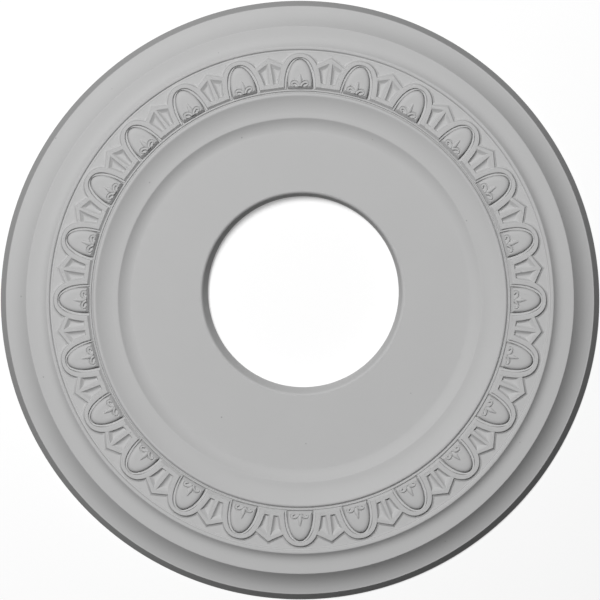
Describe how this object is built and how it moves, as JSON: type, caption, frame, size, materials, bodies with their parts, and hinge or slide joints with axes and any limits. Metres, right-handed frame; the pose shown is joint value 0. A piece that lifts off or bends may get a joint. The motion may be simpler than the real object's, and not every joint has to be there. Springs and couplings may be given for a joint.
{
  "type": "ceiling rose",
  "caption": "Round moulded ceiling ornament with coved rings, an egg-and-dart frieze and an open centre for a light fitting's box or canopy.",
  "frame": {"origin": "centre of the mouldings on the flat back, where the rose meets the ceiling", "axes": "+Z out of the moulded face; +Y and +X across it; the back lies on z = 0 and the rose is turned over to be fixed under a ceiling"},
  "size_m": [0.3112, 0.3112, 0.019],
  "materials": {
    "primed_foam": "matt factory primer on a dense moulded foam"
  },
  "bodies": {
    "root": {"ceiling_rose": "primed_foam"}
  },
  "joints": []
}
